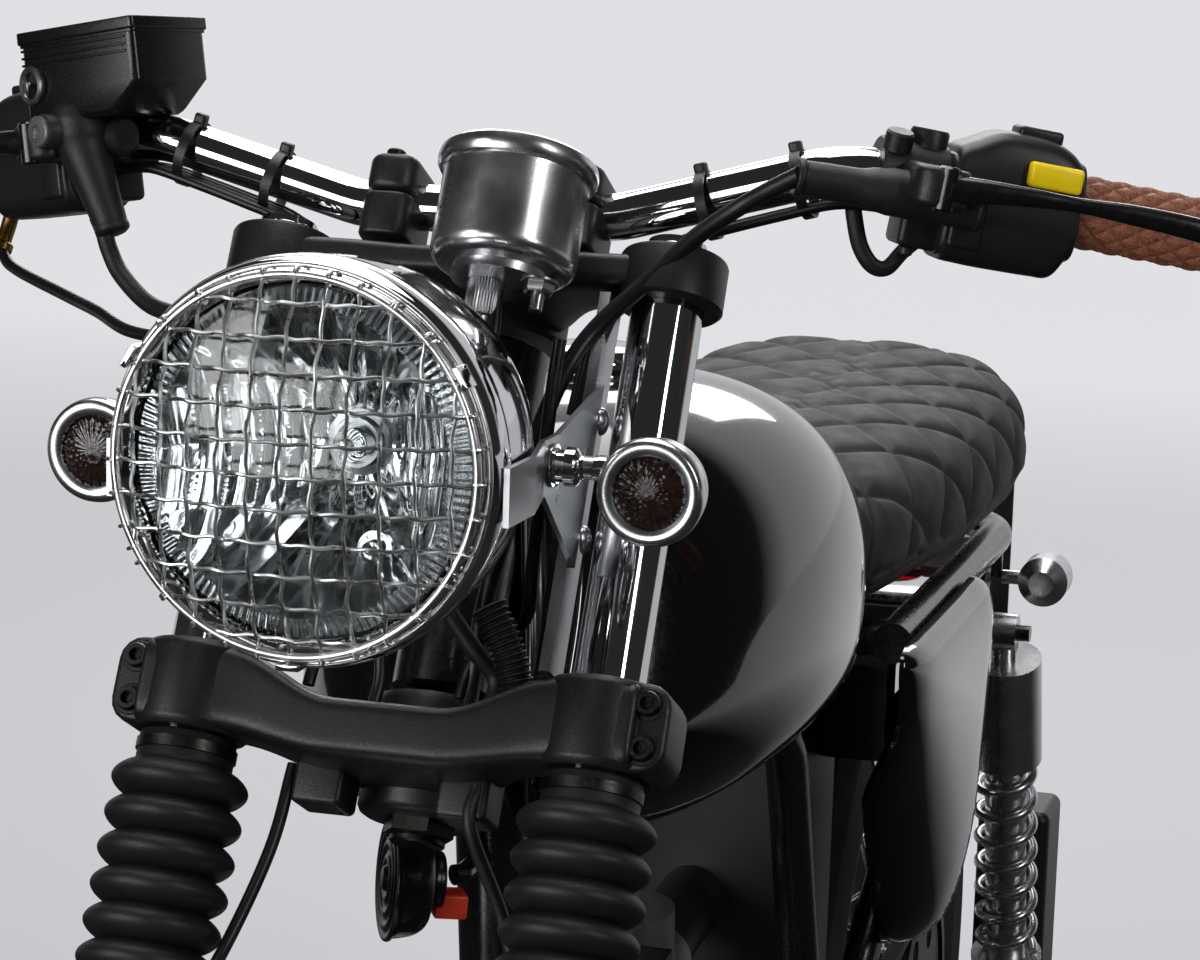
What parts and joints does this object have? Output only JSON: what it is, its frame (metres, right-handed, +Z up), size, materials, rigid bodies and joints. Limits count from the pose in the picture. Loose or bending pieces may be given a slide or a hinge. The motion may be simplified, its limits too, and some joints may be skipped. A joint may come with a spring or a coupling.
{
  "type": "motorcycle",
  "caption": "Cafe racer motorcycle with a round guarded headlamp, gaitered fork, rounded tank, quilted seat, wire wheels, finned engine and twin shock absorbers, on its centre stand.",
  "frame": {"origin": "on the floor, midway between the two axles and between the two sides", "axes": "+X to the rider's left, +Y to the rear, so the front faces -Y, +Z up"},
  "size_m": [0.7992, 1.91, 1.0813],
  "materials": {
    "frame_black": "satin black enamel",
    "gloss_black": "gloss black lacquer",
    "alloy_black": "satin black on cast alloy",
    "chrome": "polished",
    "alloy": "fine blasted",
    "alloy_polished": "polished",
    "steel": "zinc plated",
    "dark_steel": "blackened and oiled",
    "rubber": "matt",
    "tyre": "matt, with a road tread",
    "plastic_black": "fine grained",
    "seat_cover": "quilted in diamonds",
    "grip_leather": "brown, embossed in diamonds",
    "lamp_glass": "clear",
    "red": "clear red",
    "mirror": "silvered"
  },
  "bodies": {
    "chassis": {"frame": "frame_black", "swingarm": "frame_black", "rear_axle": "alloy", "left_shock": "chrome", "right_shock": "chrome", "drive_chain": "dark_steel", "fuel_tank": "gloss_black", "fuel_cap": "chrome", "seat": "seat_cover", "side_panel_left": "gloss_black", "side_panel_right": "gloss_black", "air_box": "plastic_black", "crankcase": "alloy", "cylinder": "alloy_black", "cylinder_head": "alloy_black", "carburettor": "alloy", "exhaust_pipe": "chrome", "silencer": "chrome", "footrests": "rubber", "foot_controls": "steel", "rear_mudguard": "chrome", "tail_lamp": "red", "number_plate": "plastic_black", "rear_indicators": "chrome", "tool_pouch": "plastic_black", "horn": "plastic_black"},
    "fork": {"lower_yoke": "alloy_black", "upper_yoke": "alloy_black", "fork_tubes": "chrome", "fork_sliders": "alloy_polished", "fork_gaiters": "rubber", "handlebar": "chrome", "grips": "grip_leather", "bar_clamps": "alloy_black", "switchgear": "plastic_black", "clutch_lever": "alloy_black", "brake_lever": "alloy_black", "headlamp_shell": "chrome", "headlamp_reflector": "mirror", "headlamp_lens": "lamp_glass", "headlamp_grille": "steel", "lamp_brackets": "steel", "front_indicators": "chrome", "speedometer": "chrome", "brake_caliper": "alloy_black", "front_axle": "steel", "front_mudguard": "chrome", "control_cables": "rubber", "brake_hose": "rubber"},
    "front_wheel": {"front_tyre": "tyre", "front_rim": "chrome", "front_spokes": "alloy_polished", "front_disc": "steel"},
    "rear_wheel": {"rear_tyre": "tyre", "rear_rim": "chrome", "rear_spokes": "alloy_polished", "rear_sprocket": "dark_steel"},
    "centre_stand": {"centre_stand": "frame_black"},
    "side_stand": {"side_stand": "frame_black"}
  },
  "joints": [
    {"name": "steering", "type": "hinge", "parent": "chassis", "child": "fork", "pos_m": [0, -0.29553, 0.8541], "axis": [0, 0.454, 0.891], "range_deg": [-36, 36]},
    {"name": "front_wheel_spin", "type": "hinge", "parent": "fork", "child": "front_wheel", "pos_m": [0, -0.635, 0.32], "axis": [1, 0, 0], "continuous": true},
    {"name": "rear_wheel_spin", "type": "hinge", "parent": "chassis", "child": "rear_wheel", "pos_m": [0, 0.635, 0.332], "axis": [1, 0, 0], "continuous": true},
    {"name": "centre_stand_fold", "type": "hinge", "parent": "chassis", "child": "centre_stand", "pos_m": [0, 0.188, 0.22], "axis": [1, 0, 0], "range_deg": [0, 72]},
    {"name": "side_stand_fold", "type": "hinge", "parent": "chassis", "child": "side_stand", "pos_m": [0.132, 0.118, 0.206], "axis": [-0.9455, 0, -0.3256], "range_deg": [0, 100]}
  ]
}
